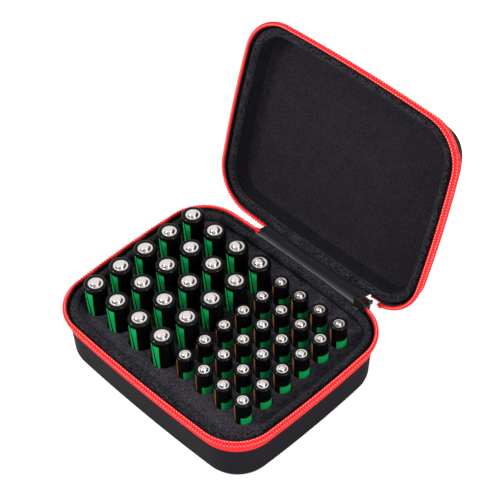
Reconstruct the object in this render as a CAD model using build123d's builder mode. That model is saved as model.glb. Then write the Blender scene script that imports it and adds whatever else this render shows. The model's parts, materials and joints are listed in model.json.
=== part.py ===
from build123d import *
import math
import os

# Overall form, measured along the outer edge of the zip
rim_width = 165.3
rim_depth = 134.3
side_bow = 2.7
corner_radius = 28.9
base_height = 42.5
lid_height = 22.5
lid_open_angle = 106.6

# Moulded shells
shell_wall = 4.5
shell_inset = 3.2
shell_top_depth = 6.2
shell_draft_angle = 3.0
base_edge_radius = 8.0
lid_straight_depth = 7.5

# Linings, laid in with a film of glue
glue_gap = 0.15
lining_thickness = 1.2

# Padded roll on the edge of each shell
roll_top_depth = 3.8
roll_foot_inset = 4.3
roll_foot_width = 4.6
roll_crown_inset = 5.4
roll_crown_width = 2.5

# Zip chain and tape
zip_setback = 0.6
zip_width = 2.5
zip_height = 2.0
tooth_pitch = 4.0
tooth_length = 2.0
tooth_rise = 1.0
tooth_side_gap = 0.2
zip_tape_thickness = 0.9
base_tape_height = 9.2
lid_tape_height = 5.2
base_tape_slant = 2.5
lid_tape_slant = 2.2
zip_stop_length = 2.2
zip_stop_gap = 0.1
lid_tape_tail_depth = 4.9

# Ends of the zip and the hinge, measured in from the widest part of the case
zip_left_margin = 49.35
base_zip_right_margin = 32.35
lid_zip_right_margin = 22.35
lid_tape_right_margin = 34.35
hinge_right_margin = 35.15

# Soft hinge along the back
hinge_inset = 0.3
hinge_drop = 6.4
hinge_roll_radius = 2.6
hinge_end_gap = 0.5
hinge_leaf_inset = 2.0
hinge_leaf_thickness = 1.0
base_leaf_drop = 2.2
base_leaf_height = 11.4
lid_leaf_rise = 3.0
lid_leaf_height = 17.4

# Foam insert and its cells
foam_fit = 0.3
foam_top_depth = 9.5
socket_clearance = 0.25
aa_radius = 7.25
aa_can_height = 49.0
aa_nub_radius = 2.75
aa_nub_height = 1.5
aa_column_wall = 4.8
aa_row_wall = 5.45
aa_side_wall = 4.0
aa_front_wall = 11.2
aaa_radius = 5.25
aaa_can_height = 43.6
aaa_nub_radius = 1.9
aaa_nub_height = 0.9
aaa_column_wall = 5.15
aaa_row_wall = 5.18
aaa_side_wall = 10.125
aaa_front_wall = 15.6
smallest_back_wall = 11.0
smallest_block_wall = 3.5
aa_room_share = 0.56

# Slider and puller
slider_length = 9.0
slider_half_height = 4.0
slider_corner_radius = 1.6
slider_zip_clearance = 0.5
outer_plate_thickness = 1.2
inner_plate_thickness = 0.9
slider_lip_height = 0.7
slider_lip_reach = 0.9
slider_web_length = 2.0
slider_web_thickness = 0.6
ear_spacing = 6.8
ear_thickness = 1.2
ear_height = 2.8
ear_reach = 2.7
pin_radius = 0.7
pin_standoff = 1.4
pin_seat_clearance = 0.02
pin_run_clearance = 0.06
puller_width = 5.0
puller_eye_radius = 1.2
puller_thickness = 1.4
puller_length = 21.0
puller_end_radius = 2.2

# Overrun of cuts past the faces they leave
overrun = 1.0

half_width = rim_width / 2
half_depth = rim_depth / 2
side_edge = half_width + side_bow
back_edge = half_depth + side_bow
draft_slope = math.tan(math.radians(shell_draft_angle))
chamfer_share = 2 - math.sqrt(2)
half_step_share = 1 / 2
zip_root_depth = zip_setback + zip_height
lining_wall = shell_wall + glue_gap
hollow_wall = lining_wall + lining_thickness
lid_edge_radius = lid_height - lid_straight_depth
zip_left_end = zip_left_margin - side_edge
base_zip_right_end = side_edge - base_zip_right_margin
lid_zip_right_end = side_edge - lid_zip_right_margin
lid_tape_right_end = side_edge - lid_tape_right_margin
hinge_left_end = zip_left_end + zip_stop_gap + zip_stop_length + hinge_end_gap
hinge_right_end = side_edge - hinge_right_margin
hinge_y = back_edge - hinge_inset
hinge_z = base_height - hinge_drop

# Places of the cells, as many as there is room for between the walls of the foam
foam_inset = shell_inset + hollow_wall + foam_fit
aa_socket_radius = aa_radius + socket_clearance
aaa_socket_radius = aaa_radius + socket_clearance
aa_column_pitch = 2 * aa_socket_radius + aa_column_wall
aa_row_pitch = 2 * aa_socket_radius + aa_row_wall
aaa_column_pitch = 2 * aaa_socket_radius + aaa_column_wall
aaa_row_pitch = 2 * aaa_socket_radius + aaa_row_wall
aa_first_x = foam_inset + aa_side_wall + aa_socket_radius - side_edge
aa_first_y = foam_inset + aa_front_wall + aa_socket_radius - back_edge
aaa_last_x = side_edge - foam_inset - aaa_side_wall - aaa_socket_radius
aaa_first_y = foam_inset + aaa_front_wall + aaa_socket_radius - back_edge
back_limit = back_edge - foam_inset - smallest_back_wall
column_room = aaa_last_x - aa_first_x - aa_socket_radius - smallest_block_wall - aaa_socket_radius
aa_columns = 1 + int(aa_room_share * column_room / aa_column_pitch)
aa_block_width = (aa_columns - 1) * aa_column_pitch
aaa_columns = 1 + int((column_room - aa_block_width) / aaa_column_pitch)
aaa_block_width = (aaa_columns - 1) * aaa_column_pitch
aa_rows = 1 + int((back_limit - aa_socket_radius - aa_first_y) / aa_row_pitch)
aaa_rows = 1 + int((back_limit - aaa_socket_radius - aaa_first_y) / aaa_row_pitch)
aa_block_x = aa_first_x + aa_block_width / 2
aa_block_y = aa_first_y + (aa_rows - 1) * aa_row_pitch / 2
aaa_block_x = aaa_last_x - aaa_block_width / 2
aaa_block_y = aaa_first_y + (aaa_rows - 1) * aaa_row_pitch / 2

os.makedirs("parts", exist_ok=True)

# Planes of the two halves, by depth from the edge where they meet
hinge_point = Vector(0, hinge_y, hinge_z)
hinge_axis = Axis(hinge_point, (-1, 0, 0))
meeting_point = Vector(0, 0, base_height)
lid_rim = Plane(
    origin=hinge_point + (meeting_point - hinge_point).rotate(hinge_axis, lid_open_angle),
    x_dir=(1, 0, 0),
    z_dir=Vector(0, 0, 1).rotate(hinge_axis, lid_open_angle),
)


# Outline of the rim at the zip's outer edge, as arcs that run into each other
with BuildSketch() as rim_outline:
    with BuildLine():
        ThreePointArc((-half_width, -half_depth), (0, -back_edge), (half_width, -half_depth))
        ThreePointArc((half_width, -half_depth), (side_edge, 0), (half_width, half_depth))
        ThreePointArc((half_width, half_depth), (0, back_edge), (-half_width, half_depth))
        ThreePointArc((-half_width, half_depth), (-side_edge, 0), (-half_width, -half_depth))
    make_face()
    fillet(rim_outline.vertices(), corner_radius)
rim_arcs = rim_outline.face().outer_wire().edges()
arc_place_shares = (0, half_step_share, 1)


def base_level(depth):
    """Plane of the base at a depth below the meeting edge."""
    return Plane.XY.offset(base_height - depth)


def lid_level(depth):
    """Plane of the open lid at a depth into the lid from the meeting edge."""
    return lid_rim.offset(depth)


def rim_section(plane, inset):
    """Rounded rectangle with bowed sides, drawn in from the zip's outer edge."""
    with BuildSketch(plane) as section:
        with BuildLine():
            for arc in rim_arcs:
                centre = arc.arc_center
                radius_share = (arc.radius - inset) / arc.radius
                points = [centre + (arc @ place - centre) * radius_share for place in arc_place_shares]
                ThreePointArc(*[(point.X, point.Y) for point in points])
        make_face()
    return section.sketch


def sloped_form(level, top, top_inset, foot, foot_inset):
    """Solid between two depths, whose side runs from one inset to another."""
    with BuildPart() as form:
        loft([rim_section(level(top), top_inset), rim_section(level(foot), foot_inset)], ruled=True)
    return form.part


def drafted_form(level, wall, top, foot):
    """Solid parallel to the shell's drafted face, a wall's thickness inside it."""
    top_inset = shell_inset + wall + (top - shell_top_depth) * draft_slope
    foot_inset = shell_inset + wall + (foot - shell_top_depth) * draft_slope
    return sloped_form(level, top, top_inset, foot, foot_inset)


def sloped_ring(level, top, foot, outer_top, outer_foot, inner_top, inner_foot):
    """Band round the rim between two depths, with its own slope on each side."""
    reach = overrun * (inner_foot - inner_top) / (foot - top)
    with BuildPart() as band:
        add(sloped_form(level, top, outer_top, foot, outer_foot))
        add(
            sloped_form(level, top - overrun, inner_top - reach, foot + overrun, inner_foot + reach),
            mode=Mode.SUBTRACT,
        )
    return band.part


def back_block(level, left, right):
    """Block over the back edge between two places along the hinge."""
    with BuildPart() as block:
        with BuildSketch(level(0)):
            with Locations(((left + right) / 2, back_edge)):
                Rectangle(right - left, corner_radius)
        extrude(amount=base_height, both=True)
    return block.part


def closed_end(part, level, depth):
    """Edges round the flat face of a form at its deep end."""
    return part.faces().sort_by_distance(level(depth).origin)[0].edges()


def lid_inside(wall, top):
    """Inside of the lid behind its lining, with a bevel under the rounded edge."""
    with BuildPart() as inside:
        add(drafted_form(lid_level, wall, top, lid_height - wall))
        bevel = (lid_edge_radius - wall) * chamfer_share
        chamfer(closed_end(inside, lid_level, lid_height - wall), length=bevel)
    return inside.part


def lid_hollow():
    """Open space of the lid within its lining, with a soft inner edge."""
    with BuildPart() as hollow:
        add(drafted_form(lid_level, hollow_wall, shell_top_depth - overrun, lid_height - hollow_wall))
        fillet(closed_end(hollow, lid_level, lid_height - hollow_wall), lid_edge_radius - hollow_wall)
    return hollow.part


def tooth_places(right_end, phase_share):
    """Places of the zip teeth along the rim, leaving the hinge gap free."""
    path = rim_section(Plane.XY, zip_width / 2).face().outer_wire()
    count = round(path.length / tooth_pitch)
    places = []
    for number in range(count):
        along_share = ((number + phase_share) / count) % 1
        point = path.position_at(along_share)
        heading = path.tangent_at(along_share)
        at_back = point.Y > half_depth - corner_radius
        if at_back and zip_left_end - tooth_length < point.X < right_end + tooth_length:
            continue
        turn = math.degrees(math.atan2(heading.Y, heading.X))
        places.append(Location((point.X, point.Y, 0), (0, 0, turn)))
    return places


def zip_chain(level, right_end, phase_share):
    """Row of zip teeth on its core, stopped on both sides of the hinge."""
    core_top = zip_setback + tooth_rise
    tooth_middle = zip_setback + (tooth_rise + tooth_side_gap) / 2
    with BuildPart() as chain:
        add(sloped_ring(level, core_top, zip_root_depth, 0, 0, zip_width, zip_width))
        add(back_block(level, zip_left_end, right_end), mode=Mode.SUBTRACT)
        with BuildSketch(level(tooth_middle)):
            with Locations(*tooth_places(right_end, phase_share)):
                Rectangle(tooth_length, zip_width - 2 * tooth_side_gap)
        extrude(amount=(tooth_rise + tooth_side_gap) / 2, both=True)
    return chain.part


def zip_tape(level, right_end, height, slant):
    """Zip tape, slanting in from the chain to the shell it is sewn to."""
    tape_end_depth = zip_root_depth + height
    with BuildPart() as tape:
        add(
            sloped_ring(
                level,
                zip_root_depth,
                tape_end_depth,
                0,
                slant,
                zip_tape_thickness,
                slant + zip_tape_thickness,
            )
        )
        add(back_block(level, zip_left_end, right_end), mode=Mode.SUBTRACT)
    return tape.part


def zip_stops(level, right_end):
    """Pair of stops that close the ends of a zip chain."""
    with BuildPart() as stops:
        add(sloped_ring(level, zip_setback, zip_root_depth, 0, 0, zip_width, zip_width))
        with BuildSketch(level(zip_setback)):
            with Locations(
                (zip_left_end + zip_stop_gap + zip_stop_length / 2, back_edge),
                (right_end - zip_stop_gap - zip_stop_length / 2, back_edge),
            ):
                Rectangle(zip_stop_length, corner_radius)
        extrude(amount=base_height, both=True, mode=Mode.INTERSECT)
    return stops.part


def rim_roll(level):
    """Padded roll that covers the edge of a shell and of its lining."""
    with BuildPart() as roll:
        add(
            sloped_ring(
                level,
                roll_top_depth,
                shell_top_depth - glue_gap,
                roll_crown_inset,
                roll_foot_inset,
                roll_crown_inset + roll_crown_width,
                roll_foot_inset + roll_foot_width,
            )
        )
    return roll.part


def hinge_leaf(level, top, foot):
    """Flap of the soft hinge, flat along the back of one half."""
    inner_inset = hinge_leaf_inset + hinge_leaf_thickness
    with BuildPart() as leaf:
        add(sloped_ring(level, top, foot, hinge_leaf_inset, hinge_leaf_inset, inner_inset, inner_inset))
        add(back_block(level, hinge_left_end, hinge_right_end), mode=Mode.INTERSECT)
    return leaf.part


# Base half
with BuildPart() as base_shell:
    add(drafted_form(base_level, 0, shell_top_depth, base_height))
    fillet(closed_end(base_shell, base_level, base_height), base_edge_radius)
    add(
        drafted_form(base_level, shell_wall, shell_top_depth - overrun, base_height - shell_wall),
        mode=Mode.SUBTRACT,
    )

with BuildPart() as base_lining:
    add(drafted_form(base_level, lining_wall, shell_top_depth, base_height - lining_wall))
    add(
        drafted_form(base_level, hollow_wall, shell_top_depth - overrun, base_height - hollow_wall),
        mode=Mode.SUBTRACT,
    )

with BuildPart() as base_rim_roll:
    add(rim_roll(base_level))

with BuildPart() as base_zip_tape:
    add(zip_tape(base_level, base_zip_right_end, base_tape_height, base_tape_slant))

with BuildPart() as base_zip_teeth:
    add(zip_chain(base_level, base_zip_right_end, 0))

with BuildPart() as base_zip_stops:
    add(zip_stops(base_level, base_zip_right_end))

# Soft hinge
base_leaf_top = hinge_drop + base_leaf_drop
with BuildPart() as base_hinge_strip:
    add(hinge_leaf(base_level, base_leaf_top, base_leaf_top + base_leaf_height))

lid_leaf_top = lid_leaf_rise - hinge_drop
with BuildPart() as lid_hinge_strip:
    add(hinge_leaf(lid_level, lid_leaf_top, lid_leaf_top + lid_leaf_height))

with BuildPart() as hinge_roll:
    with BuildSketch(Plane.YZ.offset(hinge_left_end)):
        with Locations((hinge_y, hinge_z)):
            Circle(hinge_roll_radius)
    extrude(amount=hinge_right_end - hinge_left_end)

# Foam insert with its sockets, and the cells that stand in them
def aa_circles(level, radius):
    """Circles of one radius at all the places of the larger cells."""
    with BuildSketch(Plane.XY.offset(level)) as circles:
        with Locations((aa_block_x, aa_block_y)):
            with GridLocations(aa_column_pitch, aa_row_pitch, aa_columns, aa_rows):
                Circle(radius)
    return circles.sketch


def aaa_circles(level, radius):
    """Circles of one radius at all the places of the smaller cells."""
    with BuildSketch(Plane.XY.offset(level)) as circles:
        with Locations((aaa_block_x, aaa_block_y)):
            with GridLocations(aaa_column_pitch, aaa_row_pitch, aaa_columns, aaa_rows):
                Circle(radius)
    return circles.sketch


with BuildPart() as foam_insert:
    add(drafted_form(base_level, hollow_wall + foam_fit, foam_top_depth, base_height - hollow_wall))
    extrude(aa_circles(0, aa_socket_radius), amount=base_height, mode=Mode.SUBTRACT)
    extrude(aaa_circles(0, aaa_socket_radius), amount=base_height, mode=Mode.SUBTRACT)

with BuildPart() as aa_cells:
    extrude(aa_circles(hollow_wall, aa_radius), amount=aa_can_height)
    extrude(aa_circles(hollow_wall, aa_nub_radius), amount=aa_can_height + aa_nub_height)

with BuildPart() as aaa_cells:
    extrude(aaa_circles(hollow_wall, aaa_radius), amount=aaa_can_height)
    extrude(aaa_circles(hollow_wall, aaa_nub_radius), amount=aaa_can_height + aaa_nub_height)

# Lid half
with BuildPart() as lid_shell:
    add(drafted_form(lid_level, 0, shell_top_depth, lid_height))
    fillet(closed_end(lid_shell, lid_level, lid_height), lid_edge_radius)
    add(lid_inside(shell_wall, shell_top_depth - overrun), mode=Mode.SUBTRACT)

with BuildPart() as lid_lining:
    add(lid_inside(lining_wall, shell_top_depth))
    add(lid_hollow(), mode=Mode.SUBTRACT)

with BuildPart() as lid_rim_roll:
    add(rim_roll(lid_level))

with BuildPart() as lid_zip_tape:
    add(zip_tape(lid_level, lid_tape_right_end, lid_tape_height, lid_tape_slant))
    with BuildSketch(lid_level(0)):
        with Locations(((lid_tape_right_end + lid_zip_right_end) / 2, back_edge)):
            Rectangle(lid_zip_right_end - lid_tape_right_end, corner_radius)
    extrude(amount=lid_tape_tail_depth, mode=Mode.SUBTRACT)

with BuildPart() as lid_zip_teeth:
    add(zip_chain(lid_level, lid_zip_right_end, half_step_share))

with BuildPart() as lid_zip_stops:
    add(zip_stops(lid_level, lid_zip_right_end))

# Slider, parked where the zip starts to turn the corner beside the hinge
corner_edge = rim_arcs.sort_by_distance((half_width, half_depth, 0))[0]
corner_x = corner_edge.arc_center.X
corner_y = corner_edge.arc_center.Y
zip_edge_y = corner_y + corner_radius
inner_plate_inset = zip_width + slider_zip_clearance
pin_y = zip_edge_y + slider_zip_clearance + outer_plate_thickness + pin_standoff


def slider_face(inset):
    """Plane along the zip at an inset from its outer edge, facing outwards."""
    return Plane(origin=(corner_x, zip_edge_y - inset, base_height), x_dir=(1, 0, 0), z_dir=(0, 1, 0))


def pin_circle(start, radius):
    """Circle round the puller's pin, on a plane across the zip."""
    with BuildSketch(Plane.YZ.offset(corner_x + start)) as circle:
        with Locations((pin_y, base_height)):
            Circle(radius)
    return circle.sketch


pin_length = ear_spacing + ear_thickness
with BuildPart() as slider_body:
    with BuildSketch(slider_face(-slider_zip_clearance)):
        RectangleRounded(slider_length, 2 * slider_half_height, slider_corner_radius)
    extrude(amount=outer_plate_thickness)
    with BuildSketch(slider_face(inner_plate_inset)):
        RectangleRounded(slider_length, 2 * slider_half_height, slider_corner_radius)
    extrude(amount=-inner_plate_thickness)
    lip_middle = slider_half_height - slider_lip_height / 2
    with BuildSketch(slider_face(inner_plate_inset)):
        with Locations((0, lip_middle), (0, -lip_middle)):
            Rectangle(slider_length - 2 * slider_corner_radius, slider_lip_height)
    extrude(amount=slider_lip_reach)
    with BuildSketch(slider_face(inner_plate_inset)):
        with Locations(((slider_length - slider_web_length) / 2, 0)):
            Rectangle(slider_web_length, slider_web_thickness)
    extrude(amount=inner_plate_inset + slider_zip_clearance)
    with BuildSketch(slider_face(-slider_zip_clearance - outer_plate_thickness)):
        with GridLocations(ear_spacing, 0, 2, 1):
            Rectangle(ear_thickness, ear_height)
    extrude(amount=ear_reach)
    extrude(
        pin_circle(-pin_length / 2 - overrun, pin_radius + pin_seat_clearance),
        amount=pin_length + 2 * overrun,
        mode=Mode.SUBTRACT,
    )

with BuildPart() as puller_pin:
    extrude(pin_circle(-pin_length / 2, pin_radius), amount=pin_length)

with BuildPart() as puller_tab:
    extrude(pin_circle(-puller_width / 2, puller_eye_radius), amount=puller_width)
    with BuildSketch(slider_face(zip_edge_y - pin_y)):
        with Locations((0, puller_length / 2)):
            Rectangle(puller_width, puller_length)
    extrude(amount=puller_thickness / 2, both=True)
    fillet(puller_tab.edges().filter_by(Axis.Y).group_by(Axis.Z)[0], puller_end_radius)
    extrude(
        pin_circle(-puller_width / 2 - overrun, pin_radius + pin_run_clearance),
        amount=puller_width + 2 * overrun,
        mode=Mode.SUBTRACT,
    )

# Names and files of the pieces
base_shell.part.label = "base_shell"
base_lining.part.label = "base_lining"
base_rim_roll.part.label = "base_rim_roll"
base_zip_tape.part.label = "base_zip_tape"
base_zip_teeth.part.label = "base_zip_teeth"
base_zip_stops.part.label = "base_zip_stops"
base_hinge_strip.part.label = "base_hinge_strip"
hinge_roll.part.label = "hinge_roll"
foam_insert.part.label = "foam_insert"
aa_cells.part.label = "aa_cells"
aaa_cells.part.label = "aaa_cells"
lid_shell.part.label = "lid_shell"
lid_lining.part.label = "lid_lining"
lid_rim_roll.part.label = "lid_rim_roll"
lid_zip_tape.part.label = "lid_zip_tape"
lid_zip_teeth.part.label = "lid_zip_teeth"
lid_zip_stops.part.label = "lid_zip_stops"
lid_hinge_strip.part.label = "lid_hinge_strip"
slider_body.part.label = "slider_body"
puller_pin.part.label = "puller_pin"
puller_tab.part.label = "puller_tab"

export_step(base_shell.part, "parts/base_shell.step")
export_step(base_lining.part, "parts/base_lining.step")
export_step(base_rim_roll.part, "parts/base_rim_roll.step")
export_step(base_zip_tape.part, "parts/base_zip_tape.step")
export_step(base_zip_teeth.part, "parts/base_zip_teeth.step")
export_step(base_zip_stops.part, "parts/base_zip_stops.step")
export_step(base_hinge_strip.part, "parts/base_hinge_strip.step")
export_step(hinge_roll.part, "parts/hinge_roll.step")
export_step(foam_insert.part, "parts/foam_insert.step")
export_step(aa_cells.part, "parts/aa_cells.step")
export_step(aaa_cells.part, "parts/aaa_cells.step")
export_step(lid_shell.part, "parts/lid_shell.step")
export_step(lid_lining.part, "parts/lid_lining.step")
export_step(lid_rim_roll.part, "parts/lid_rim_roll.step")
export_step(lid_zip_tape.part, "parts/lid_zip_tape.step")
export_step(lid_zip_teeth.part, "parts/lid_zip_teeth.step")
export_step(lid_zip_stops.part, "parts/lid_zip_stops.step")
export_step(lid_hinge_strip.part, "parts/lid_hinge_strip.step")
export_step(slider_body.part, "parts/slider_body.step")
export_step(puller_pin.part, "parts/puller_pin.step")
export_step(puller_tab.part, "parts/puller_tab.step")
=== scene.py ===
"""Battery storage case, standing open on a pale floor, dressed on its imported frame."""

import json
import logging
import math
from dataclasses import dataclass, field
from enum import Enum
from typing import Callable, Sequence

import bmesh
import bpy
from mathutils import Matrix, Vector, noise


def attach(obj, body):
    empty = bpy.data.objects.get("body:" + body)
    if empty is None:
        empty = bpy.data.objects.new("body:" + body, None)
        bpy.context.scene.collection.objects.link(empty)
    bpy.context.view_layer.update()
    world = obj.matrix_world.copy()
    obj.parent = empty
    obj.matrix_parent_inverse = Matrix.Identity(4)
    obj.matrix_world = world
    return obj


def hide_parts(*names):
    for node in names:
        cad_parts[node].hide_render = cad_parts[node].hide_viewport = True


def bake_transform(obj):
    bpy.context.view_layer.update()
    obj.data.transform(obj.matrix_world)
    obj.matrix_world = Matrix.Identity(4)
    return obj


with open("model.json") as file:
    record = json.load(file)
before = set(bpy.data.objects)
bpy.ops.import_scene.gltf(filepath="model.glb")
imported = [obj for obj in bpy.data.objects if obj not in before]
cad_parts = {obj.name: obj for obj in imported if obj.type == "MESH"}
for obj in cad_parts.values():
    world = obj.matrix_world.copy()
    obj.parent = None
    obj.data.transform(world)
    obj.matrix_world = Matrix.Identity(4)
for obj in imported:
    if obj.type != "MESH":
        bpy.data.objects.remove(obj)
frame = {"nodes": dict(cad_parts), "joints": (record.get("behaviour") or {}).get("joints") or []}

log = logging.getLogger("battery_case")

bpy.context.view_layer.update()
MM = 0.001
QUARTER = math.pi / 2
NO_CREASE = 180.0
TINY_ANGLE = 1e-9

Socket = bpy.types.NodeSocket
Point = tuple[float, float]
Place = tuple[float, float, float]
Profile = list[Point]
Relief = Callable[[float, int], Point]


def srgb(code: str) -> tuple[float, float, float, float]:
    """Turns an sRGB hex value into a linear colour.

    Args:
        code: Six hex digits with a leading hash.

    Returns:
        Linear red, green and blue, with full opacity.
    """
    channels = [int(code[place : place + 2], 16) / 255 for place in (1, 3, 5)]
    linear = [c / 12.92 if c <= 0.04045 else ((c + 0.055) / 1.055) ** 2.4 for c in channels]
    return (linear[0], linear[1], linear[2], 1.0)


def per_metre(size_mm: float) -> float:
    """Gives the texture scale at which a pattern repeats about every size_mm."""
    return 1 / (size_mm * MM)


def feed(tree: bpy.types.NodeTree, node: bpy.types.Node, values: dict) -> None:
    """Sets what a node has and takes.

    Args:
        tree: Node tree of the node.
        node: Node to set.
        values: Values by property name, or by the name or number of an input. A socket is linked to its
            input.
    """
    for key, value in values.items():
        if isinstance(value, Socket):
            tree.links.new(value, node.inputs[key])
        elif isinstance(key, str) and hasattr(node, key):
            setattr(node, key, value)
        else:
            node.inputs[key].default_value = value


def add_node(tree: bpy.types.NodeTree, kind: str, output: str | int, values: dict) -> Socket:
    """Adds a node.

    Args:
        tree: Node tree that takes the node.
        kind: Blender's name of the shader node.
        output: Name or number of the output that is wanted.
        values: What the node has and takes.

    Returns:
        That output of the new node.
    """
    node = tree.nodes.new(f"ShaderNode{kind}")
    feed(tree, node, values)
    return node.outputs[output]


@dataclass(frozen=True)
class Recipe:
    """Nodes of a material or a world while they are laid, and the shader that they feed."""

    tree: bpy.types.NodeTree
    shader: bpy.types.Node

    def place(self) -> Socket:
        """Gives the piece's own coordinates."""
        return add_node(self.tree, "TexCoord", "Object", {})

    def noise(self, size_mm: float, detail: float, vector: Socket | None = None, **more: float) -> Socket:
        """Adds a noise.

        Args:
            size_mm: Size of its grains.
            detail: Layers of finer grains in them.
            vector: Coordinates, which are the piece's own if none are given.
            more: Further inputs by name.

        Returns:
            The noise's value.
        """
        values = {"Scale": per_metre(size_mm), "Detail": detail, "Vector": vector or self.place(), **more}
        return add_node(self.tree, "TexNoise", "Fac", values)

    def math(self, operation: str, *inputs: Socket | float, clamp: bool = False) -> Socket:
        """Does an operation on values and sockets, held between 0 and 1 if it is clamped."""
        values = {"operation": operation, "use_clamp": clamp, **dict(enumerate(inputs))}
        return add_node(self.tree, "Math", "Value", values)

    def ranged(self, value: Socket, to: Point, start: Point = (0.0, 1.0)) -> Socket:
        """Carries a value from its range at the start to another."""
        ranges = {"From Min": start[0], "From Max": start[1], "To Min": to[0], "To Max": to[1]}
        return add_node(self.tree, "MapRange", "Result", {**ranges, "Value": value})

    def tones(self, dark: str, light: str, share: Socket) -> Socket:
        """Mixes two colours, given as sRGB hex values, by the share of the light one."""
        return add_node(
            self.tree, "Mix", 2, {"data_type": "RGBA", 6: srgb(dark), 7: srgb(light), 0: share}
        )

    def bump(self, height: Socket, strength: float, depth_mm: float) -> Socket:
        """Gives the normals of a relief, which is depth_mm deep at full strength."""
        values = {"Strength": strength, "Distance": depth_mm * MM, "Height": height}
        return add_node(self.tree, "Bump", "Normal", values)

    def shade(self, **values: object) -> None:
        """Sets the shader's inputs, whose names have underscores here for spaces."""
        feed(self.tree, self.shader, {name.replace("_", " "): value for name, value in values.items()})


@dataclass(frozen=True)
class Finish:
    """What every finish has: the name of its material, made once."""

    name: str

    def material(self) -> bpy.types.Material:
        """Gives the finish's material, making it at the first call.

        Returns:
            The material.
        """
        made = bpy.data.materials.get(self.name)
        if made is None:
            made = bpy.data.materials.new(self.name)
            made.use_nodes = True
            self.dress(Recipe(made.node_tree, made.node_tree.nodes["Principled BSDF"]))
        return made

    def dress(self, recipe: Recipe) -> None:
        """Sets the shader and links the finish's pattern to it.

        Args:
            recipe: Nodes of the material.
        """
        raise NotImplementedError


@dataclass(frozen=True)
class MouldedCover(Finish):
    """Nylon cloth with a polyurethane coat, hot-moulded over EVA foam.

    The coat fills the weave, so the eye gets a dull black skin with a faint thread grain and a soft glow at
    the bends, and slow clouds of sheen where the mould pressed harder.
    """

    dark: str = "#0e0c12"
    light: str = "#19161d"
    thread_mm: float = 0.7
    thread_unevenness: float = 0.6
    cloud_mm: float = 22.0
    roughness: Point = (0.5, 0.68)
    bump_mm: float = 0.05

    def dress(self, recipe: Recipe) -> None:
        """Lays a fine grain, slow clouds of sheen and a dull coat.

        Args:
            recipe: Nodes of the material.
        """
        weave = {"Scale": per_metre(self.thread_mm), "Randomness": self.thread_unevenness}
        thread = add_node(recipe.tree, "TexVoronoi", "Distance", {**weave, "Vector": recipe.place()})
        cloud = recipe.noise(self.cloud_mm, detail=4.0)
        recipe.shade(
            Base_Color=recipe.tones(self.dark, self.light, cloud),
            Roughness=recipe.ranged(cloud, self.roughness),
            Normal=recipe.bump(thread, strength=0.5, depth_mm=self.bump_mm),
            IOR=1.5,
            Specular_IOR_Level=0.07,
        )


@dataclass(frozen=True)
class BrushedFleece(Finish):
    """Polyester tricot, brushed on one side into a short nap.

    The nap scatters light, so the eye gets a matt charcoal with salt-and-pepper grain, darker where fibres
    part, and a thin bright fringe at grazing angles. The grain is drawn coarser than a fibre, to show.
    """

    dark: str
    light: str
    grain_mm: float
    bump_mm: float = 0.3
    fleck: Point = (0.3, 0.7)
    fibre_share: float = 0.35
    fibre_swing: Point = (0.8, -0.4)
    patch_mm: float = 14.0
    patch_swing: Point = (0.35, -0.17)

    def dress(self, recipe: Recipe) -> None:
        """Lays a two-tone nap with its relief and a fringe of sheen.

        Args:
            recipe: Nodes of the material.
        """
        nap = recipe.noise(self.grain_mm, detail=3.0, Roughness=0.7)
        fibre = recipe.noise(self.grain_mm * self.fibre_share, detail=2.0, Roughness=0.6)
        patch = recipe.noise(self.patch_mm, detail=2.0)
        strand = recipe.math("ADD", nap, recipe.math("MULTIPLY_ADD", fibre, *self.fibre_swing))
        parted = recipe.math("MULTIPLY_ADD", patch, *self.patch_swing)
        spread = recipe.ranged(strand, (0.0, 1.0), self.fleck)
        recipe.shade(
            Base_Color=recipe.tones(self.dark, self.light, recipe.math("ADD", spread, parted, clamp=True)),
            Normal=recipe.bump(strand, strength=0.7, depth_mm=self.bump_mm),
            Roughness=0.95,
            Specular_IOR_Level=0.05,
            Sheen_Weight=0.06,
            Sheen_Roughness=0.4,
        )


@dataclass(frozen=True)
class WovenTape(Finish):
    """Polyester zip tape, woven in a herringbone and dyed in the piece.

    Dyed polyester is bright and even, so the eye gets a saturated red with fine cross ribs and a slight silk.
    """

    dark: str = "#f4161f"
    light: str = "#ff393b"
    rib_mm: float = 0.8
    bump_mm: float = 0.12

    def dress(self, recipe: Recipe) -> None:
        """Lays ribs across the tape, with a mild unevenness of dye.

        Args:
            recipe: Nodes of the material.
        """
        weave = {
            "bands_direction": "DIAGONAL",
            "Scale": per_metre(self.rib_mm) / math.tau,
            "Distortion": 1.5,
            "Detail": 1.0,
        }
        ribs = add_node(recipe.tree, "TexWave", "Fac", {**weave, "Vector": recipe.place()})
        recipe.shade(
            Base_Color=recipe.tones(self.dark, self.light, ribs),
            Normal=recipe.bump(ribs, strength=0.6, depth_mm=self.bump_mm),
            Roughness=0.6,
            Specular_IOR_Level=0.05,
        )


@dataclass(frozen=True)
class SpunNylon(Finish):
    """Nylon monofilament or spun thread, drawn and dyed.

    Drawn nylon is smooth and a little clear, so the eye gets a bright core with small soft highlights.
    """

    dark: str = "#ff2429"
    light: str = "#ff4745"
    streak_mm: float = 1.6
    roughness: float = 0.36
    bump_mm: float = 0.05

    def dress(self, recipe: Recipe) -> None:
        """Varies the dye from loop to loop under a smooth skin.

        Args:
            recipe: Nodes of the material.
        """
        streak = recipe.noise(self.streak_mm, detail=2.0)
        recipe.shade(
            Base_Color=recipe.tones(self.dark, self.light, streak),
            Normal=recipe.bump(streak, strength=0.25, depth_mm=self.bump_mm),
            Roughness=self.roughness,
            IOR=1.53,
            Specular_IOR_Level=0.12,
        )


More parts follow.
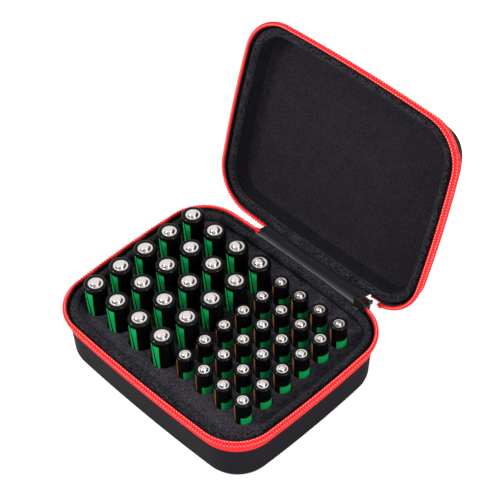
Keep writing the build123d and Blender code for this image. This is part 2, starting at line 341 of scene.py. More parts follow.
@dataclass(frozen=True)
class SatinCloth(Finish):
    """Polyester satin, woven with long floats and folded over the hinge.

    The floats lie side by side, so the eye gets a smooth dark grey band with a long soft highlight and fine
    lines along its length.
    """

    dark: str = "#1a1b20"
    light: str = "#34353b"
    float_mm: float = 0.9
    drawn_out: Place = (0.05, 1.0, 1.0)
    bump_mm: float = 0.1

    def dress(self, recipe: Recipe) -> None:
        """Draws the floats as long thin streaks along the hinge.

        Args:
            recipe: Nodes of the material.
        """
        values = {"Scale": self.drawn_out, "Vector": recipe.place()}
        along = add_node(recipe.tree, "Mapping", "Vector", values)
        floats = recipe.noise(self.float_mm, detail=3.0, vector=along)
        recipe.shade(
            Base_Color=recipe.tones(self.dark, self.light, floats),
            Normal=recipe.bump(floats, strength=0.35, depth_mm=self.bump_mm),
            Roughness=0.42,
            Specular_IOR_Level=0.25,
        )


@dataclass(frozen=True)
class PrintedSleeve(Finish):
    """PVC sleeve, printed and shrunk on the can.

    The film is glossy and follows the can with slight ripples, so the eye gets deep even ink under long
    bright reflections that waver a little.
    """

    ink: str = "#08080a"
    ripple_mm: float = 5.0
    roughness: float = 0.1
    scuff: float = 0.14
    scuffed: Point = (0.35, 0.75)
    bump_mm: float = 0.3

    def dress(self, recipe: Recipe) -> None:
        """Sets even ink under a film with slow ripples and faint scuffs.

        Args:
            recipe: Nodes of the material.
        """
        ripple = recipe.noise(self.ripple_mm, detail=2.0)
        recipe.shade(
            Base_Color=srgb(self.ink),
            Roughness=recipe.ranged(ripple, (self.roughness, self.roughness + self.scuff), self.scuffed),
            Normal=recipe.bump(ripple, strength=0.12, depth_mm=self.bump_mm),
            IOR=1.53,
            Specular_IOR_Level=0.13,
        )


@dataclass(frozen=True)
class PlatedSteel(Finish):
    """Steel or zinc with a thin plated or painted skin.

    A drawn and plated face keeps fine scratches, so the eye gets a clear reflection blurred a little, and in
    patches a little more.
    """

    tint: str = "#e3dddb"
    metallic: float = 1.0
    roughness: float = 0.18
    polish: float = 0.08
    wear: float = 0.12
    scratch_mm: float = 0.6
    bump_mm: float = 0.05

    def dress(self, recipe: Recipe) -> None:
        """Sets the metal's tint and breaks its gloss with fine scratches.

        Args:
            recipe: Nodes of the material.
        """
        scratch = recipe.noise(self.scratch_mm, detail=3.0)
        recipe.shade(
            Base_Color=srgb(self.tint),
            Metallic=self.metallic,
            Roughness=recipe.ranged(scratch, (self.roughness - self.polish, self.roughness + self.wear)),
            Normal=recipe.bump(scratch, strength=0.08, depth_mm=self.bump_mm),
        )


@dataclass(frozen=True)
class PaperSweep(Finish):
    """White paper sweep of the studio.

    Lit paper is matt and close to white, so the eye gets a floor without an edge that keeps a faint shadow.
    """

    tint: str = "#f4f4f4"
    glow: float = 0.58

    def dress(self, recipe: Recipe) -> None:
        """Sets matt paper that glows to the camera alone.

        Args:
            recipe: Nodes of the material.
        """
        seen = add_node(recipe.tree, "LightPath", "Is Camera Ray", {})
        recipe.shade(
            Base_Color=srgb(self.tint),
            Roughness=1.0,
            Specular_IOR_Level=0.0,
            Emission_Color=srgb("#ffffff"),
            Emission_Strength=recipe.ranged(seen, (0.0, self.glow)),
        )


COVER = MouldedCover("coated_nylon_moulded")
PANEL_FLEECE = BrushedFleece("tricot_fleece_brushed", dark="#131116", light="#2b282f", grain_mm=1.1)
# Same fleece as the panel, written darker: painted shade on the lining's wall.
WALL_FLEECE_PAINTED_SHADE = BrushedFleece("tricot_fleece_painted_shade", dark="#0a090d", light="#201e23", grain_mm=1.2)
ROLL_FLEECE = BrushedFleece(
    "tricot_fleece_rolled", dark="#060608", light="#4e4b54", grain_mm=1.15, bump_mm=0.9, fleck=(0.42, 0.8)
)
TRAY_FLEECE = BrushedFleece(
    "foam_faced_with_fleece", dark="#121115", light="#544f5a", grain_mm=1.15, bump_mm=0.6, fleck=(0.32, 0.78)
)
TAPE = WovenTape("polyester_tape_woven")
# Tape written darker red where it lies under the coil: painted shade of the coil.
TAPE_PAINTED_SHADE_UNDER_COIL = WovenTape("polyester_tape_painted_shade_under_coil", dark="#e4121a", light="#f4222a")
COIL = SpunNylon("nylon_coil_drawn")
# Thread of the stitches, written pale pink: partly the thread's colour, partly painted highlight of the coil.
THREAD_AND_PAINTED_HIGHLIGHT = SpunNylon("polyester_thread_with_painted_highlight", dark="#ff9894", light="#ffc2be", roughness=0.5)
HINGE_CLOTH = SatinCloth("polyester_satin_folded")
SLEEVE_BLACK = PrintedSleeve("pvc_sleeve_black_ink")
SLEEVE_GREEN = PrintedSleeve("pvc_sleeve_green_ink", ink="#15b45c", roughness=0.22)
SLEEVE_COPPER = PrintedSleeve("pvc_sleeve_copper_ink", ink="#9a6a34", roughness=0.25)
NICKEL = PlatedSteel("nickel_plated_steel_drawn")
# Darker metal for arcs round the nub's foot: painted shade and painted reflection of dark surroundings.
RING_PAINTED_SHADE = PlatedSteel("nickel_plated_steel_painted_shade", tint="#3a3634", roughness=0.45)
SLIDER_PAINT = PlatedSteel("zinc_die_cast_black_paint", tint="#1b1b1e", metallic=0.0, roughness=0.38)
PULLER_METAL = PlatedSteel("zinc_die_cast_gunmetal", tint="#56565c", roughness=0.36)
PAPER = PaperSweep("paper_sweep_white")


class Half(Enum):
    """The two halves of the case, by the body that each rides on."""

    BASE = "base"
    LID = "lid"


def lid_hinge() -> dict:
    """Gives the frame's row of the hinge."""
    return next(joint for joint in frame["joints"] if joint["name"] == "lid_hinge")


@dataclass
class Rim:
    """Outline of the zip's outer edge, four bowed sides that run into four round corners, in millimetres.

    A place on it is the direction of its outward normal, an angle that grows anticlockwise from the middle of
    the back, so that every inset of the outline has the same directions.
    """

    width: float = 165.3
    depth: float = 134.3
    bow: float = 2.7
    corner: float = 28.9
    height: float = 42.5
    halvings: int = 60
    arcs: list[tuple[float, float, float, float, float]] = field(default_factory=list)

    def __post_init__(self) -> None:
        """Works out the arcs, each with its centre, radius, first and last direction."""
        long_radius = ((self.width / 2) ** 2 + self.bow**2) / (2 * self.bow)
        side_radius = ((self.depth / 2) ** 2 + self.bow**2) / (2 * self.bow)
        long_y = self.depth / 2 + self.bow - long_radius
        side_x = self.width / 2 + self.bow - side_radius
        reach_side = side_radius - self.corner
        reach_long = long_radius - self.corner
        span = math.hypot(side_x, long_y)
        along = (reach_side**2 - reach_long**2 + span**2) / (2 * span)
        across = math.sqrt(reach_side**2 - along**2)
        toward = Vector((-side_x, long_y)) / span
        corner = Vector((side_x, 0)) + toward * along + Vector((-toward.y, toward.x)) * across
        turn_long = math.atan2(corner.x, corner.y - long_y)
        turn_side = math.atan2(corner.y, corner.x - side_x)
        for quarter, (sign_x, sign_y) in enumerate(((-1, 1), (-1, -1), (1, -1), (1, 1)), start=1):
            start = quarter * QUARTER
            first, last = (turn_long, turn_side) if quarter % 2 else (turn_side, turn_long)
            end = start + QUARTER
            sides = ((0, sign_y * long_y, long_radius), (sign_x * side_x, 0, side_radius))
            before, after = sides if quarter % 2 else sides[::-1]
            self.arcs.append((*before, start, start + first))
            self.arcs.append((sign_x * corner.x, sign_y * corner.y, self.corner, start + first, end - last))
            self.arcs.append((*after, end - last, end))

    def point(self, direction: float) -> tuple[Vector, Vector]:
        """Gives the outline's point with a given normal.

        Args:
            direction: Angle of the outward normal, from a quarter turn to five quarters.

        Returns:
            The point and the normal, in the plane of the rim.
        """
        for x, y, radius, start, end in self.arcs:
            if start - TINY_ANGLE <= direction <= end + TINY_ANGLE:
                break
        normal = Vector((math.cos(direction), math.sin(direction)))
        return Vector((x, y)) + normal * radius, normal

    def stretches(self, start: float, end: float) -> list[tuple[float, float, float]]:
        """Lists the arcs between two directions.

        Args:
            start: First direction.
            end: Last direction.

        Returns:
            Radius, first and last direction of each arc, or of the part of it that lies between them.
        """
        cut = [(radius, max(start, first), min(end, last)) for _, _, radius, first, last in self.arcs]
        return [(radius, low, high) for radius, low, high in cut if high - low >= TINY_ANGLE]

    def directions(self, spacing: float, start: float = QUARTER, end: float = 5 * QUARTER) -> list[float]:
        """Steps along the outline, with each arc divided evenly.

        Args:
            spacing: Largest step along the outline.
            start: First direction.
            end: Last direction, which is included.

        Returns:
            The directions in order.
        """
        found = [start]
        for radius, low, high in self.stretches(start, end):
            steps = max(1, math.ceil(radius * (high - low) / spacing))
            found.extend(low + (high - low) * step / steps for step in range(1, steps + 1))
        return found

    def back_direction(self, x: float) -> float:
        """Finds the point at the back that lies at x, by halving its quarter.

        Args:
            x: Place along the hinge.

        Returns:
            Direction of the point.
        """
        low, high = (QUARTER, 2 * QUARTER) if x < 0 else (4 * QUARTER, 5 * QUARTER)
        for _ in range(self.halvings):
            middle = (low + high) / 2
            if self.point(middle)[0].x > x:
                low = middle
            else:
                high = middle
        return (low + high) / 2

    def spaced(self, pitch: float, start: float, end: float, shift: float) -> list[float]:
        """Places what repeats at an even pitch between two directions.

        Args:
            pitch: Distance along the outline from one to the next.
            start: First direction.
            end: Last direction.
            shift: Distance along the outline of the first one from the start.

        Returns:
            The directions in order.
        """
        found: list[float] = []
        wait = shift
        for radius, low, high in self.stretches(start, end):
            length = radius * (high - low)
            while wait < length:
                found.append(low + wait / radius)
                wait += pitch
            wait -= length
        return found


@dataclass
class HalfFrame:
    """Where one half stands: the base as drawn, the lid turned open about the hinge."""

    half: Half
    rim: Rim
    front_slope: float = 0.3
    lean_start: float = 4.5
    lean_power: int = 6
    turn: Matrix = field(default_factory=lambda: Matrix.Identity(4))

    def __post_init__(self) -> None:
        """Turns the lid open by the hinge's whole range."""
        if self.half is Half.LID:
            hinge = lid_hinge()
            centre = Vector(hinge["pos_m"])
            opening = Matrix.Rotation(-math.radians(hinge["range_deg"][0]), 4, Vector(hinge["axis"]))
            self.turn = Matrix.Translation(centre) @ opening @ Matrix.Translation(-centre)

    @property
    def key(self) -> str:
        """Name of the half, which its pieces' names start with."""
        return self.half.value

    def lean(self, direction: float, depth: float) -> float:
        """Gives how far the lid's front wall leans in, which the base's wall doesn't do.

        Args:
            direction: Place on the rim.
            depth: Depth from the meeting edge.

        Returns:
            Change of inset.
        """
        if self.half is Half.BASE:
            return 0.0
        facing_front = max(0.0, -math.sin(direction))
        return self.front_slope * facing_front**self.lean_power * max(0.0, depth - self.lean_start)

    def place(self, x: float, y: float, depth: float) -> Vector:
        """Gives the point at a depth from the meeting edge into this half, in metres."""
        away = -depth if self.half is Half.BASE else depth
        return self.turn @ (Vector((x, y, self.rim.height + away)) * MM)

    def on_rim(self, direction: float, inset: float, depth: float) -> Vector:
        """Gives a point near the rim.

        Args:
            direction: Place on the rim.
            inset: Distance in from the outline.
            depth: Depth from the meeting edge.

        Returns:
            The point in metres.
        """
        point, normal = self.rim.point(direction)
        inset += self.lean(direction, depth)
        return self.place(point.x - normal.x * inset, point.y - normal.y * inset, depth)

    def axes(self, direction: float) -> Matrix:
        """Gives the turn of a small piece on the rim.

        Args:
            direction: Place on the rim.

        Returns:
            Turn from the piece's own axes, which are along, outward and up.
        """
        _, normal = self.rim.point(direction)
        up = -1.0 if self.half is Half.LID else 1.0
        along = Vector((-normal.y, normal.x, 0))
        outward = Vector((normal.x, normal.y, 0))
        local = Matrix((along, outward, Vector((0, 0, up)))).transposed().to_4x4()
        return self.turn.to_3x3().to_4x4() @ local


def add_object(name: str, data: bpy.types.ID) -> bpy.types.Object:
    """Makes an object of a mesh, a lamp or a camera, and links it to the scene.

    Args:
        name: Name of the object.
        data: Its mesh, lamp or camera.

    Returns:
        The new object.
    """
    made = bpy.data.objects.new(name, data)
    bpy.context.scene.collection.objects.link(made)
    return made


@dataclass
class MeshPlan:
    """Vertices and faces of a piece while it is being drawn."""

    vertices: list[Vector] = field(default_factory=list)
    faces: list[tuple[int, ...]] = field(default_factory=list)
    finishes: list[int] = field(default_factory=list)

    def add(
        self,
        vertices: Sequence[Vector],
        faces: Sequence[Sequence[int]],
        finishes: Sequence[int] | None = None,
    ) -> None:
        """Adds vertices and faces.

        Args:
            vertices: Points in metres.
            faces: Faces that count from the first of them.
            finishes: Finish of each face, the first if none are given.
        """
        first = len(self.vertices)
        self.vertices.extend(vertices)
        self.faces.extend(tuple(first + corner for corner in face) for face in faces)
        self.finishes.extend(finishes or [0] * len(faces))

    def piece(
        self,
        name: str,
        *finishes: Finish,
        crease: float = 45.0,
        flats: Sequence[Sequence[Sequence[int]]] = (),
    ) -> bpy.types.Object:
        """Makes the object, with outward faces, smooth shading and sharp creases.

        Args:
            name: Name of the piece.
            finishes: Finishes in the order of the faces' numbers.
            crease: Angle in degrees above which an edge stays sharp.
            flats: Flat faces to fill, each by the loops of vertices round it and round its holes.

        Returns:
            The new object, linked to the scene.
        """
        mesh = bpy.data.meshes.new(name)
        mesh.from_pydata([tuple(v) for v in self.vertices], [], self.faces)
        for finish in finishes:
            mesh.materials.append(finish.material())
        mesh.polygons.foreach_set("material_index", self.finishes)
        shape = bmesh.new()
        shape.from_mesh(mesh)
        shape.verts.ensure_lookup_table()
        for loops in flats:
            pairs = [pair for loop in loops for pair in zip(loop, [*loop[1:], loop[0]])]
            edges = [shape.edges.get((shape.verts[one], shape.verts[other])) for one, other in pairs]
            bmesh.ops.triangle_fill(shape, use_beauty=True, use_dissolve=False, edges=edges)
        bmesh.ops.recalc_face_normals(shape, faces=shape.faces)
        shape.to_mesh(mesh)
        shape.free()
        mesh.shade_smooth()
        mesh.set_sharp_from_angle(angle=math.radians(crease))
        return add_object(name, mesh)


def grid_faces(rows: int, columns: int, loop_rows: bool, loop_columns: bool) -> list[tuple[int, ...]]:
    """Lists the quads of a grid of vertices.

    Args:
        rows: Number of rows.
        columns: Number of vertices in a row.
        loop_rows: Whether the last row joins the first.
        loop_columns: Whether each row is a closed loop.

    Returns:
        Four vertex numbers for each quad.
    """
    faces = []
    for row in range(rows if loop_rows else rows - 1):
        low, high = row * columns, (row + 1) % rows * columns
        for column in range(columns if loop_columns else columns - 1):
            beside = (column + 1) % columns
            faces.append((low + column, low + beside, high + beside, high + column))
    return faces


def end_faces(rows: int, columns: int) -> list[tuple[int, ...]]:
    """Lists the two faces that close a grid at its first and its last row."""
    return [tuple(range(columns)), tuple(range((rows - 1) * columns, rows * columns))]


def tube_faces(rows: int, columns: int) -> list[tuple[int, ...]]:
    """Lists the faces of a tube whose rows are closed loops, with its two ends closed."""
    return grid_faces(rows, columns, False, True) + end_faces(rows, columns)


def fillet(centre: Point, radius: float, first: float, last: float, steps: int) -> Profile:
    """Draws an arc in a profile.

    Args:
        centre: Inset and depth of the arc's centre.
        radius: Radius of the arc.
        first: First angle in degrees, from the inset axis to the depth axis.
        last: Last angle in degrees.
        steps: Number of steps.

    Returns:
        The arc's points, both ends included.
    """
    angles = [math.radians(first + (last - first) * step / steps) for step in range(steps + 1)]
    return [(centre[0] + radius * math.cos(a), centre[1] + radius * math.sin(a)) for a in angles]


def run(start: Point, end: Point, steps: int) -> Profile:
    """Divides a straight stretch of a profile, without its last point."""
    return [
        (start[0] + (end[0] - start[0]) * step / steps, start[1] + (end[1] - start[1]) * step / steps)
        for step in range(steps)
    ]


def circle(sides: int) -> list[float]:
    """Lists the angles of even steps round a circle."""
    return [math.tau * side / sides for side in range(sides)]


def quarter_turn(steps: int) -> Profile:
    """Lists the cosine and sine at even steps of a quarter turn, both ends included."""
    angles = [math.radians(90 * step / steps) for step in range(steps + 1)]
    return [(math.cos(angle), math.sin(angle)) for angle in angles]


def sweep_round(
    plan: MeshPlan,
    half: HalfFrame,
    directions: Sequence[float],
    profile: Profile,
    closed_profile: bool,
    relief: Relief | None = None,
    open_run: bool = False,
    stretches_by_finish: Sequence[Sequence[int]] = (),
) -> None:
    """Carries a profile of insets and depths round the rim.

    Args:
        plan: Mesh that takes the faces.
        half: Half of the case that the profile belongs to.
        directions: Places along the rim, all the way round unless it is an open run.
        profile: Insets and depths.
        closed_profile: Whether the profile is a loop; if not, flat caps close its two ends.
        relief: Change of inset and depth at a direction and a point of the profile.
        open_run: Whether the run stops short of a full turn, and has its two ends closed.
        stretches_by_finish: Stretches of the profile in the second finish, the third and so on, each by the
            number of its first point.
    """
    places = directions if open_run else directions[:-1]
    vertices = []
    for direction in places:
        for number, (inset, depth) in enumerate(profile):
            change = relief(direction, number) if relief else (0.0, 0.0)
            vertices.append(half.on_rim(direction, inset + change[0], depth + change[1]))
    rows, columns = len(places), len(profile)
    faces = grid_faces(rows, columns, not open_run, closed_profile)
    stretches = columns if closed_profile else columns - 1
    finish_of = {place: number for number, group in enumerate(stretches_by_finish, 1) for place in group}
    finishes = [finish_of.get(number % stretches, 0) for number in range(len(faces))]
    if open_run:
        faces += end_faces(rows, columns)
    elif not closed_profile:
        faces += [tuple(range(edge, rows * columns, columns)) for edge in (0, columns - 1)]
    plan.add(vertices, faces, finishes + [0] * (len(faces) - len(finishes)))


def place_piece(piece: bpy.types.Object, body: str, slot: str, *nodes: str) -> None:
    """Lets a piece ride on its body and stand for its nodes, which are hidden.

    Args:
        piece: Piece in its place.
        body: Body that it moves with.
        slot: Material slot of the record; not used.
        nodes: Nodes that it stands for.
    """
    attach(piece, body)
    if nodes:
        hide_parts(*nodes)
    log.info("%s rides on %s, %d faces", piece.name, body, len(piece.data.polygons))


@dataclass
class Shell:
    """Moulded cover of one half with its fleece lining and the padded roll on its edge, in millimetres."""

    frame: HalfFrame
    height: float
    edge_radius: float
    lining_radius: float
    hinge_rise: float
    inset: float = 3.2
    top_depth: float = 6.2
    wall: float = 4.5
    glue: float = 0.15
    lining: float = 1.2
    draft: float = math.tan(math.radians(3.0))
    least_radius: float = 1.0
    flat_margin: float = 2.0
    spacing: float = 2.5
    wall_steps: int = 6
    edge_steps: int = 12
    lining_steps: int = 10
    hidden_steps: int = 6
    panel_stretches: int = 6
    roll_inset: float = 6.8
    roll_half_width: float = 2.55
    roll_crown_depth: float = 2.3
    roll_foot_depth: float = 6.15
    roll_foot_power: float = 0.75
    roll_sides: int = 20
    roll_spacing: float = 1.5
    roll_lump: float = 0.35
    lump_length: float = 4.0
    lump_turn: float = 0.5
    lump_side_share: float = 0.3
    hinge_spread: float = 0.9
    hinge_ends: Point = (-38.0, 49.0)
    hinge_fade: float = 9.0

    def inset_at(self, depth: float, wall: float = 0.0) -> float:
        """Gives the inset of the drafted wall at a depth, a wall's thickness inside it."""
        return self.inset + wall + (depth - self.top_depth) * self.draft

    def bowl(self, wall: float, radius: float, steps: int) -> Profile:
        """Draws the drafted wall from the edge to the flat end, with its rounded edge.

        Args:
            wall: Distance inside the cover's outer face.
            radius: Radius of the rounded edge.
            steps: Steps of that edge.

        Returns:
            Profile from the top edge to the rim of the flat end.
        """
        end = self.height - wall
        lean = math.degrees(math.atan(self.draft))
        arc_depth = end - radius
        arc_inset = self.inset_at(arc_depth, wall) + radius * (1 + self.draft * math.sin(math.radians(lean)))
        arc = fillet((arc_inset, arc_depth), radius, 180 + lean / 2, 90, steps)
        rim_point = (self.inset_at(self.top_depth, wall), self.top_depth)
        flat = (arc[-1][0] + self.flat_margin, end)
        return run(rim_point, arc[0], self.wall_steps) + arc + [flat]

    def cover(self) -> None:
        """Builds the cover, outside, edge and inside."""
        plan, key = MeshPlan(), self.frame.key
        outside = self.bowl(0.0, self.edge_radius, self.edge_steps)
        inner_radius = max(self.edge_radius - self.wall, self.least_radius)
        inside = self.bowl(self.wall, inner_radius, self.hidden_steps)
        sweep_round(plan, self.frame, self.frame.rim.directions(self.spacing), inside[::-1] + outside, False)
        made = plan.piece(f"{key}_cover", COVER)
        place_piece(made, key, "shell_cover", f"{key}_shell")

    def fleece(self) -> None:
        """Builds the lining, whose face shows and whose back is glued to the cover."""
        plan, key = MeshPlan(), self.frame.key
        back = self.wall + self.glue
        front = self.bowl(back + self.lining, self.lining_radius, self.lining_steps)
        behind = self.bowl(back, max(self.edge_radius - back, self.lining_radius), self.hidden_steps)
        profile = front[::-1] + behind
        # The wall stretches take the darker fleece, which is painted shade.
        wall = range(self.panel_stretches, len(profile))
        directions = self.frame.rim.directions(self.spacing)
        sweep_round(plan, self.frame, directions, profile, False, stretches_by_finish=[wall])
        made = plan.piece(f"{key}_fleece", PANEL_FLEECE, WALL_FLEECE_PAINTED_SHADE)
        place_piece(made, key, "fleece_lining", f"{key}_lining")

    def roll(self) -> None:
        """Builds the padded roll, full on top and pinched to the shell, uneven like sewn padding."""
        plan, key = MeshPlan(), self.frame.key
        middle = (self.roll_crown_depth + self.roll_foot_depth) / 2
        half_depth = (self.roll_foot_depth - self.roll_crown_depth) / 2
        angles = circle(self.roll_sides)
        profile = []
        for angle in angles:
            across, down = math.cos(angle), math.sin(angle)
            power = self.roll_foot_power if down > 0 else 1.0
            inset = self.roll_inset + self.roll_half_width * math.copysign(abs(across) ** power, across)
            profile.append((inset, middle + half_depth * math.copysign(abs(down) ** power, down)))

        def lumps(direction: float, number: int) -> Point:
            """Swells the roll a little from place to place, and lifts its crown along the hinge.

            Args:
                direction: Place on the rim.
                number: Point of the profile.

            Returns:
                Change of inset and depth.
            """
            point = self.frame.rim.point(direction)[0]
            along = (point.x / self.lump_length, point.y / self.lump_length)
            swell = self.roll_lump * noise.noise(Vector((*along, number * self.lump_turn)))
            across, down = math.cos(angles[number]), math.sin(angles[number])
            near_end = min(point.x - self.hinge_ends[0], self.hinge_ends[1] - point.x)
            share = min(max(near_end / self.hinge_fade, 0.0), 1.0) if point.y > 0 else 0.0
            spread = self.hinge_spread * share * max(0.0, -across)
            rise = self.hinge_rise * share * max(0.0, -down)
            return swell * across * self.lump_side_share - spread, swell * down - rise

        sweep_round(plan, self.frame, self.frame.rim.directions(self.roll_spacing), profile, True, lumps)
        made = plan.piece(f"{key}_edge_roll", ROLL_FLEECE, crease=NO_CREASE)
        place_piece(made, key, "fleece_lining", f"{key}_rim_roll")

    def build(self) -> None:
        """Builds the cover, the lining and the roll."""
        self.cover()
        self.fleece()
        self.roll()


@dataclass
class ZipHalf:
    """Tape, coil and stitches of one half of the zip, in millimetres.

    Its small points are pairs of an inset and a depth. Those of the cord and of a loop's bends are measured
    from the cord's top or the loop's crown, and from the nearer side of the tape.
    """

    frame: HalfFrame
    right_end: float
    tail_end: float
    shift: float
    tape_height: float
    tape_slant: float
    corner_rise: float = 0.0
    left_end: float = -36.0
    setback: float = 0.6
    width: float = 2.5
    root_depth: float = 2.6
    tape_thickness: float = 0.9
    tape_spacing: float = 1.5
    tape_steps: int = 4
    tail_depth: float = 4.9
    cord_sink: float = 0.75
    cord_outer: Sequence[Point] = ((0.6, 0.1), (0.38, 0.5))
    cord_inner: Sequence[Point] = ((0.05, 0.5), (0.3, 0.1))
    cord_sides: Point = (0.3, 0.3)
    neck_inset: float = 1.3
    neck_depths: Point = (0.7, 0.5)
    groove: float = 0.25
    groove_depths: Point = (-0.2, 0.4)
    hem_share: float = 0.8
    hem_depths: Point = (0.15, 0.6)
    coil_foot: float = 4.9
    coil_pitch: float = 2.0
    coil_half_width: float = 0.58
    coil_half_rise: float = 0.36
    loop_inner: Sequence[Point] = ((0.4, 0.9), (0.75, 0.1))
    loop_outer: Sequence[Point] = ((0.65, 0.1), (0.2, 0.6))
    loop_root: Point = (0.1, 0.1)
    loop_lifts: Point = (0.05, 0.1)
    loop_tip: float = 0.55
    loop_sides: int = 6
    stitch_length: float = 0.9
    stitch_width: float = 0.62
    stitch_rise: float = 0.36
    stitch_power: float = 3.2
    stitch_rings: int = 5
    stitch_sides: int = 8
    top_row: Point = (0.55, 0.45)
    low_row: Point = (0.02, 1.1)
    stop_edge: float = 0.25

    @property
    def ends(self) -> Point:
        """Directions of the zip's two ends beside the hinge."""
        rim = self.frame.rim
        return rim.back_direction(self.left_end), rim.back_direction(self.right_end)

    def slant_at(self, depth: float) -> float:
        """Gives the inset of the tape's outer face at a depth."""
        return self.tape_slant * (depth - self.root_depth) / self.tape_height

    def tape(self) -> None:
        """Builds the tape: a rounded cord under the coil that runs into a slanted band on the shell.

        Its inner face is bound in black, and on the lid a narrow tail of it goes on behind the slider.
        """
        plan, rim, key = MeshPlan(), self.frame.rim, self.frame.key
        foot = self.root_depth + self.tape_height
        top = self.setback + self.cord_sink
        groove_end, band_start = (self.coil_foot + depth for depth in self.groove_depths)
        hem, neck = self.tape_slant + self.tape_thickness, self.neck_inset
        neck_foot, neck_top = (self.root_depth + depth for depth in self.neck_depths)
        outside = [
            *((inset, top + depth) for inset, depth in self.cord_outer),
            (self.cord_sides[0], self.root_depth),
            (self.slant_at(groove_end) + self.groove, groove_end),
            *run((self.slant_at(band_start), band_start), (self.tape_slant, foot), self.tape_steps),
            (self.tape_slant, foot),
        ]
        inside = [
            (self.tape_slant + self.tape_thickness * self.hem_share, foot - self.hem_depths[0]),
            *run((hem, foot - self.hem_depths[1]), (neck, neck_foot), self.tape_steps),
            (neck, neck_top),
            (self.width - self.cord_sides[1], self.root_depth),
        ]
        over = [(self.width - inset, top + depth) for inset, depth in self.cord_inner]
        profile = outside + inside + over + [(self.width / 2, top)]
        bound = range(len(outside), len(outside) + len(inside))
        # Faces under the coil take the darker red tape, which is painted shade.
        under = [*range(len(self.cord_outer) + 2), *range(bound.stop, len(profile))]

        def narrowed(direction: float, number: int) -> Point:
            """Draws the tape's foot up where it is stretched round the two front corners.

            Args:
                direction: Place on the rim.
                number: Point of the profile.

            Returns:
                Change of inset and depth.
            """
            below = max(0.0, profile[number][1] - self.coil_foot) / (foot - self.coil_foot)
            at_corner = math.sin(2 * direction) ** 2 if math.sin(direction) < 0 else 0.0
            return 0.0, -self.corner_rise * at_corner * below

        whole = rim.directions(self.tape_spacing, *self.ends)
        sweep_round(
            plan, self.frame, whole, profile, True, narrowed,
            open_run=True, stretches_by_finish=[bound, under],
        )
        if self.tail_end < self.right_end:
            start = self.slant_at(self.tail_depth)
            tail = [(start, self.tail_depth), (self.tape_slant, foot), (hem, foot)]
            tail.append((start + self.tape_thickness, self.tail_depth))
            inner_face = [tail.index((hem, foot))]
            reach = rim.directions(self.tape_spacing, self.ends[1], rim.back_direction(self.tail_end))
            sweep_round(
                plan, self.frame, reach, tail, True, open_run=True, stretches_by_finish=[inner_face]
            )
        made = plan.piece(f"{key}_tape", TAPE, ROLL_FLEECE, TAPE_PAINTED_SHADE_UNDER_COIL)
        place_piece(made, key, "zip_tape", f"{key}_zip_tape")

    def loop(self) -> tuple[list, list]:
        """Draws one loop of the coil, which lies over the edge of the tape and down its outer face.

        Returns:
            Its points in along, outward and up from the top of the tape, and its faces.
        """
        crown = self.setback + self.coil_half_rise
        halfway = (self.root_depth + self.coil_foot) / 2
        path = [
            *((self.width - inset, crown + depth) for inset, depth in self.loop_inner),
            (self.width / 2, crown),
            *((inset, crown + depth) for inset, depth in self.loop_outer),
            (self.loop_root[0], self.root_depth - self.loop_root[1]),
            (self.slant_at(halfway) + self.loop_lifts[0], halfway),
            (self.slant_at(self.coil_foot) + self.loop_lifts[1], self.coil_foot),
        ]
        points = []
        last = len(path) - 1
        for ring, (inset, depth) in enumerate(path):
            before, after = path[max(ring - 1, 0)], path[min(ring + 1, last)]
            lean = math.atan2(after[1] - before[1], after[0] - before[0])
            girth = self.loop_tip if ring in (0, last) else 1.0
            for angle in circle(self.loop_sides):
                along = self.coil_half_width * girth * math.cos(angle)
                lift = self.coil_half_rise * girth * math.sin(angle)
                out, up = -(inset - math.sin(lean) * lift), -(depth + math.cos(lean) * lift)
                points.append(Vector((along, out, up)))
        return points, tube_faces(len(path), self.loop_sides)

    def stitch(self) -> tuple[list, list]:
        """Draws one stitch, a rounded bead that lies across the zip.

        Returns:
            Its points in along, outward and up, and its faces.
        """
        points = []
        for ring in range(self.stitch_rings):
            part = -1 + 2 * (ring + 0.5) / self.stitch_rings
            girth = (1 - abs(part) ** self.stitch_power) ** (1 / self.stitch_power)
            for angle in circle(self.stitch_sides):
                along = self.stitch_length / 2 * girth * math.cos(angle)
                up = self.stitch_rise * girth * math.sin(angle)
                points.append(Vector((along, self.stitch_width / 2 * part, up)))
        return points, tube_faces(self.stitch_rings, self.stitch_sides)

    def strew(self, plan: MeshPlan, bead: tuple[list, list], place: Point, shift: float) -> None:
        """Sets a loop or a stitch at every pitch of the zip.

        Args:
            plan: Mesh that takes them.
            bead: Points and faces of one.
            place: Inset and depth of its middle.
            shift: Distance of the first from the zip's end.
        """
        for direction in self.frame.rim.spaced(self.coil_pitch, *self.ends, shift):
            turn = self.frame.axes(direction)
            middle = self.frame.on_rim(direction, *place)
            plan.add([middle + turn @ (point * MM) for point in bead[0]], bead[1])

    def coil(self) -> None:
        """Builds the coil: one rounded loop of filament across the zip at every pitch."""
        plan, key = MeshPlan(), self.frame.key
        self.strew(plan, self.loop(), (0.0, 0.0), self.coil_pitch / 2 + self.shift)
        made = plan.piece(f"{key}_coil", COIL, crease=NO_CREASE)
        place_piece(made, key, "zip_teeth", f"{key}_zip_teeth")

    def stitches(self) -> None:
        """Builds the two rows of thread that hold the coil to its tape, between the loops; their pale pink is
        partly painted highlight.
        """
        plan, key = MeshPlan(), self.frame.key
        low = self.coil_foot - self.low_row[1]
        rows = [
            (self.width * self.top_row[0], self.setback + self.top_row[1]),
            (self.slant_at(low) + self.low_row[0], low),
        ]
        for row in rows:
            self.strew(plan, self.stitch(), row, self.coil_pitch + self.shift)
        made = plan.piece(f"{key}_stitches", THREAD_AND_PAINTED_HIGHLIGHT, crease=NO_CREASE)
        place_piece(made, key, "zip_teeth")

    def build(self) -> None:
        """Builds the tape, the coil and its stitches, and paints the stops."""
        self.tape()
        self.coil()
        self.stitches()
        dress_node(f"{self.frame.key}_zip_stops", COIL, self.stop_edge)


